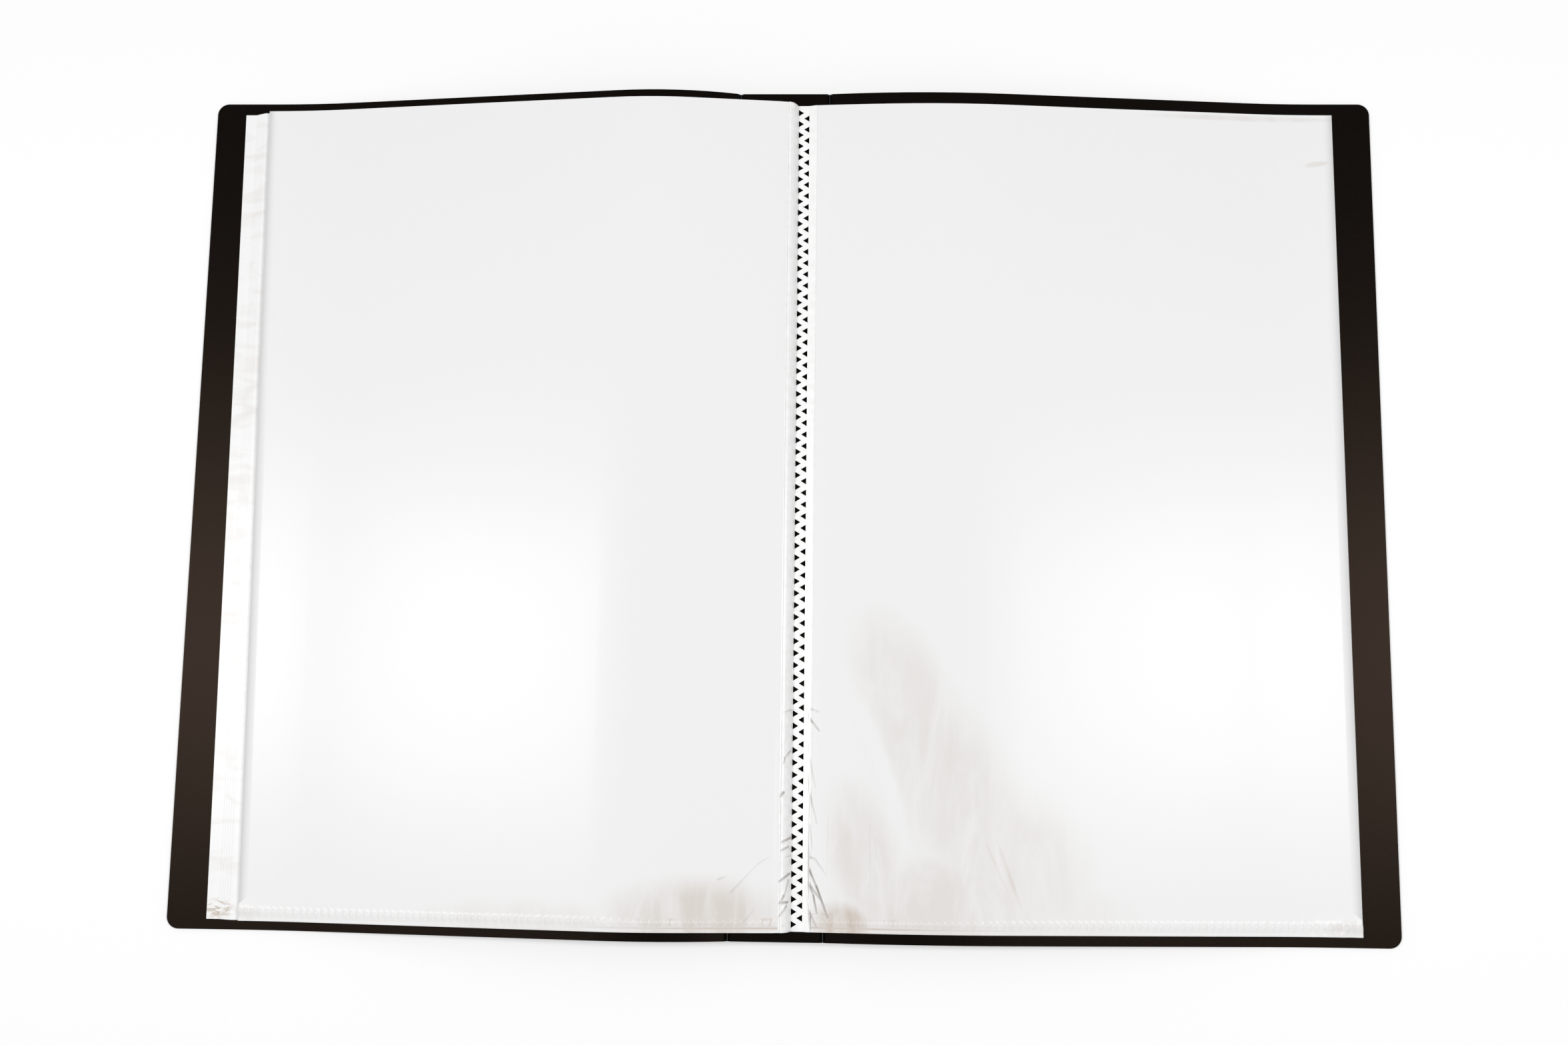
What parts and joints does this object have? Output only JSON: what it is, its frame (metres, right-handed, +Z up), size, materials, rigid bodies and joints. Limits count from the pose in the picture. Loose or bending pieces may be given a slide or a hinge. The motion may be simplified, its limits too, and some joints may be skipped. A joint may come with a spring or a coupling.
{
  "type": "pocket album",
  "caption": "Open display book: black hinged cover and spine, welded gutter, clear film pockets holding white insert sheets.",
  "frame": {"origin": "on the table, under the middle of the open album's bounding box", "axes": "+X across the open album towards the right-hand cover, +Y towards the heads of the pages, +Z up"},
  "size_m": [0.4816, 0.34, 0.0227],
  "materials": {
    "cover_plastic": "fine sand-grained matte",
    "pocket_film": "clear smooth film",
    "weld_film": "fused film with pressed marks",
    "insert_paper": "smooth white paper"
  },
  "bodies": {
    "spine": {"spine_panel": "cover_plastic", "front_hinge_web": "cover_plastic", "back_hinge_web": "cover_plastic", "weld_strip_1": "weld_film", "weld_strip_2": "weld_film"},
    "front_cover": {"front_cover_panel": "cover_plastic"},
    "back_cover": {"back_cover_panel": "cover_plastic"},
    "leaf_01": {"pocket_01": "pocket_film"},
    "insert_01": {"sheet_01": "insert_paper"},
    "leaf_02": {"pocket_02": "pocket_film"},
    "insert_02": {"sheet_02": "insert_paper"},
    "leaf_03": {"pocket_03": "pocket_film"},
    "insert_03": {"sheet_03": "insert_paper"},
    "leaf_04": {"pocket_04": "pocket_film"},
    "insert_04": {"sheet_04": "insert_paper"},
    "leaf_05": {"pocket_05": "pocket_film"},
    "insert_05": {"sheet_05": "insert_paper"},
    "leaf_06": {"pocket_06": "pocket_film"},
    "insert_06": {"sheet_06": "insert_paper"},
    "leaf_07": {"pocket_07": "pocket_film"},
    "insert_07": {"sheet_07": "insert_paper"},
    "leaf_08": {"pocket_08": "pocket_film"},
    "insert_08": {"sheet_08": "insert_paper"},
    "leaf_09": {"pocket_09": "pocket_film"},
    "insert_09": {"sheet_09": "insert_paper"},
    "leaf_10": {"pocket_10": "pocket_film"},
    "insert_10": {"sheet_10": "insert_paper"},
    "leaf_11": {"pocket_11": "pocket_film"},
    "insert_11": {"sheet_11": "insert_paper"},
    "leaf_12": {"pocket_12": "pocket_film"},
    "insert_12": {"sheet_12": "insert_paper"},
    "leaf_13": {"pocket_13": "pocket_film"},
    "insert_13": {"sheet_13": "insert_paper"},
    "leaf_14": {"pocket_14": "pocket_film"},
    "insert_14": {"sheet_14": "insert_paper"},
    "leaf_15": {"pocket_15": "pocket_film"},
    "insert_15": {"sheet_15": "insert_paper"},
    "leaf_16": {"pocket_16": "pocket_film"},
    "insert_16": {"sheet_16": "insert_paper"},
    "leaf_17": {"pocket_17": "pocket_film"},
    "insert_17": {"sheet_17": "insert_paper"},
    "leaf_18": {"pocket_18": "pocket_film"},
    "insert_18": {"sheet_18": "insert_paper"},
    "leaf_19": {"pocket_19": "pocket_film"},
    "insert_19": {"sheet_19": "insert_paper"},
    "leaf_20": {"pocket_20": "pocket_film"},
    "insert_20": {"sheet_20": "insert_paper"}
  },
  "joints": [
    {"name": "front_cover_hinge", "type": "hinge", "parent": "spine", "child": "front_cover", "pos_m": [-0.01825, 0, 0.0105], "axis": [0, 1, 0], "range_deg": [0, 92.3]},
    {"name": "back_cover_hinge", "type": "hinge", "parent": "spine", "child": "back_cover", "pos_m": [0.01825, 0, 0.0105], "axis": [0, -1, 0], "range_deg": [0, 92.3]},
    {"name": "leaf_01_turn", "type": "hinge", "parent": "spine", "child": "leaf_01", "pos_m": [-0.014, 0, 0.01165], "axis": [0, 1, 0], "range_deg": [0, 91.61]},
    {"name": "insert_01_slide", "type": "slide", "parent": "leaf_01", "child": "insert_01", "axis": [0, 1, 0], "range_m": [0, 0.33]},
    {"name": "leaf_02_turn", "type": "hinge", "parent": "spine", "child": "leaf_02", "pos_m": [-0.0134, 0, 0.01207], "axis": [0, 1, 0], "range_deg": [0, 91.61]},
    {"name": "insert_02_slide", "type": "slide", "parent": "leaf_02", "child": "insert_02", "axis": [0, 1, 0], "range_m": [0, 0.33]},
    {"name": "leaf_03_turn", "type": "hinge", "parent": "spine", "child": "leaf_03", "pos_m": [-0.0128, 0, 0.01249], "axis": [0, 1, 0], "range_deg": [0, 91.61]},
    {"name": "insert_03_slide", "type": "slide", "parent": "leaf_03", "child": "insert_03", "axis": [0, 1, 0], "range_m": [0, 0.33]},
    {"name": "leaf_04_turn", "type": "hinge", "parent": "spine", "child": "leaf_04", "pos_m": [-0.0122, 0, 0.01291], "axis": [0, 1, 0], "range_deg": [0, 91.61]},
    {"name": "insert_04_slide", "type": "slide", "parent": "leaf_04", "child": "insert_04", "axis": [0, 1, 0], "range_m": [0, 0.33]},
    {"name": "leaf_05_turn", "type": "hinge", "parent": "spine", "child": "leaf_05", "pos_m": [-0.0116, 0, 0.01333], "axis": [0, 1, 0], "range_deg": [0, 91.61]},
    {"name": "insert_05_slide", "type": "slide", "parent": "leaf_05", "child": "insert_05", "axis": [0, 1, 0], "range_m": [0, 0.33]},
    {"name": "leaf_06_turn", "type": "hinge", "parent": "spine", "child": "leaf_06", "pos_m": [-0.0046, 0, 0.01305], "axis": [0, 1, 0], "range_deg": [0, 91.61]},
    {"name": "insert_06_slide", "type": "slide", "parent": "leaf_06", "child": "insert_06", "axis": [0, 1, 0], "range_m": [0, 0.33]},
    {"name": "leaf_07_turn", "type": "hinge", "parent": "spine", "child": "leaf_07", "pos_m": [-0.004, 0, 0.01347], "axis": [0, 1, 0], "range_deg": [0, 91.61]},
    {"name": "insert_07_slide", "type": "slide", "parent": "leaf_07", "child": "insert_07", "axis": [0, 1, 0], "range_m": [0, 0.33]},
    {"name": "leaf_08_turn", "type": "hinge", "parent": "spine", "child": "leaf_08", "pos_m": [-0.0034, 0, 0.01389], "axis": [0, 1, 0], "range_deg": [0, 91.61]},
    {"name": "insert_08_slide", "type": "slide", "parent": "leaf_08", "child": "insert_08", "axis": [0, 1, 0], "range_m": [0, 0.33]},
    {"name": "leaf_09_turn", "type": "hinge", "parent": "spine", "child": "leaf_09", "pos_m": [-0.0028, 0, 0.01431], "axis": [0, 1, 0], "range_deg": [0, 91.61]},
    {"name": "insert_09_slide", "type": "slide", "parent": "leaf_09", "child": "insert_09", "axis": [0, 1, 0], "range_m": [0, 0.33]},
    {"name": "leaf_10_turn", "type": "hinge", "parent": "spine", "child": "leaf_10", "pos_m": [-0.0022, 0, 0.01473], "axis": [0, 1, 0], "range_deg": [0, 91.61]},
    {"name": "insert_10_slide", "type": "slide", "parent": "leaf_10", "child": "insert_10", "axis": [0, 1, 0], "range_m": [0, 0.33]},
    {"name": "leaf_11_turn", "type": "hinge", "parent": "spine", "child": "leaf_11", "pos_m": [-0.00125, 0, 0.01525], "axis": [0, 1, 0], "range_deg": [0, 91.61]},
    {"name": "insert_11_slide", "type": "slide", "parent": "leaf_11", "child": "insert_11", "axis": [0, 1, 0], "range_m": [0, 0.33]},
    {"name": "leaf_12_turn", "type": "hinge", "parent": "spine", "child": "leaf_12", "pos_m": [-0.00065, 0, 0.01567], "axis": [0, 1, 0], "range_deg": [0, 91.61]},
    {"name": "insert_12_slide", "type": "slide", "parent": "leaf_12", "child": "insert_12", "axis": [0, 1, 0], "range_m": [0, 0.33]},
    {"name": "leaf_13_turn", "type": "hinge", "parent": "spine", "child": "leaf_13", "pos_m": [-0.00005, 0, 0.01609], "axis": [0, 1, 0], "range_deg": [0, 91.61]},
    {"name": "insert_13_slide", "type": "slide", "parent": "leaf_13", "child": "insert_13", "axis": [0, 1, 0], "range_m": [0, 0.33]},
    {"name": "leaf_14_turn", "type": "hinge", "parent": "spine", "child": "leaf_14", "pos_m": [0.00055, 0, 0.01651], "axis": [0, 1, 0], "range_deg": [0, 91.61]},
    {"name": "insert_14_slide", "type": "slide", "parent": "leaf_14", "child": "insert_14", "axis": [0, 1, 0], "range_m": [0, 0.33]},
    {"name": "leaf_15_turn", "type": "hinge", "parent": "spine", "child": "leaf_15", "pos_m": [0.00115, 0, 0.01693], "axis": [0, 1, 0], "range_deg": [0, 91.61]},
    {"name": "insert_15_slide", "type": "slide", "parent": "leaf_15", "child": "insert_15", "axis": [0, 1, 0], "range_m": [0, 0.33]},
    {"name": "leaf_16_turn", "type": "hinge", "parent": "spine", "child": "leaf_16", "pos_m": [0.0158, 0, 0.01165], "axis": [0, -1, 0], "range_deg": [0, 92.06]},
    {"name": "insert_16_slide", "type": "slide", "parent": "leaf_16", "child": "insert_16", "axis": [0, 1, 0], "range_m": [0, 0.33]},
    {"name": "leaf_17_turn", "type": "hinge", "parent": "spine", "child": "leaf_17", "pos_m": [0.0152, 0, 0.01207], "axis": [0, -1, 0], "range_deg": [0, 92.06]},
    {"name": "insert_17_slide", "type": "slide", "parent": "leaf_17", "child": "insert_17", "axis": [0, 1, 0], "range_m": [0, 0.33]},
    {"name": "leaf_18_turn", "type": "hinge", "parent": "spine", "child": "leaf_18", "pos_m": [0.0146, 0, 0.01249], "axis": [0, -1, 0], "range_deg": [0, 92.06]},
    {"name": "insert_18_slide", "type": "slide", "parent": "leaf_18", "child": "insert_18", "axis": [0, 1, 0], "range_m": [0, 0.33]},
    {"name": "leaf_19_turn", "type": "hinge", "parent": "spine", "child": "leaf_19", "pos_m": [0.014, 0, 0.01291], "axis": [0, -1, 0], "range_deg": [0, 92.06]},
    {"name": "insert_19_slide", "type": "slide", "parent": "leaf_19", "child": "insert_19", "axis": [0, 1, 0], "range_m": [0, 0.33]},
    {"name": "leaf_20_turn", "type": "hinge", "parent": "spine", "child": "leaf_20", "pos_m": [0.0134, 0, 0.01333], "axis": [0, -1, 0], "range_deg": [0, 92.06]},
    {"name": "insert_20_slide", "type": "slide", "parent": "leaf_20", "child": "insert_20", "axis": [0, 1, 0], "range_m": [0, 0.33]}
  ],
  "couplings": [
    {"joint": "leaf_01_turn", "follows": "front_cover_hinge", "ratio": 0.99242},
    {"joint": "leaf_02_turn", "follows": "front_cover_hinge", "ratio": 0.99242},
    {"joint": "leaf_03_turn", "follows": "front_cover_hinge", "ratio": 0.99242},
    {"joint": "leaf_04_turn", "follows": "front_cover_hinge", "ratio": 0.99242},
    {"joint": "leaf_05_turn", "follows": "front_cover_hinge", "ratio": 0.99242},
    {"joint": "leaf_06_turn", "follows": "front_cover_hinge", "ratio": 0.99242},
    {"joint": "leaf_07_turn", "follows": "front_cover_hinge", "ratio": 0.99242},
    {"joint": "leaf_08_turn", "follows": "front_cover_hinge", "ratio": 0.99242},
    {"joint": "leaf_09_turn", "follows": "front_cover_hinge", "ratio": 0.99242},
    {"joint": "leaf_10_turn", "follows": "front_cover_hinge", "ratio": 0.99242},
    {"joint": "leaf_11_turn", "follows": "front_cover_hinge", "ratio": 0.99242},
    {"joint": "leaf_12_turn", "follows": "front_cover_hinge", "ratio": 0.99242},
    {"joint": "leaf_13_turn", "follows": "front_cover_hinge", "ratio": 0.99242},
    {"joint": "leaf_14_turn", "follows": "front_cover_hinge", "ratio": 0.99242},
    {"joint": "leaf_15_turn", "follows": "front_cover_hinge", "ratio": 0.99242},
    {"joint": "leaf_16_turn", "follows": "back_cover_hinge", "ratio": 0.99729},
    {"joint": "leaf_17_turn", "follows": "back_cover_hinge", "ratio": 0.99729},
    {"joint": "leaf_18_turn", "follows": "back_cover_hinge", "ratio": 0.99729},
    {"joint": "leaf_19_turn", "follows": "back_cover_hinge", "ratio": 0.99729},
    {"joint": "leaf_20_turn", "follows": "back_cover_hinge", "ratio": 0.99729}
  ]
}
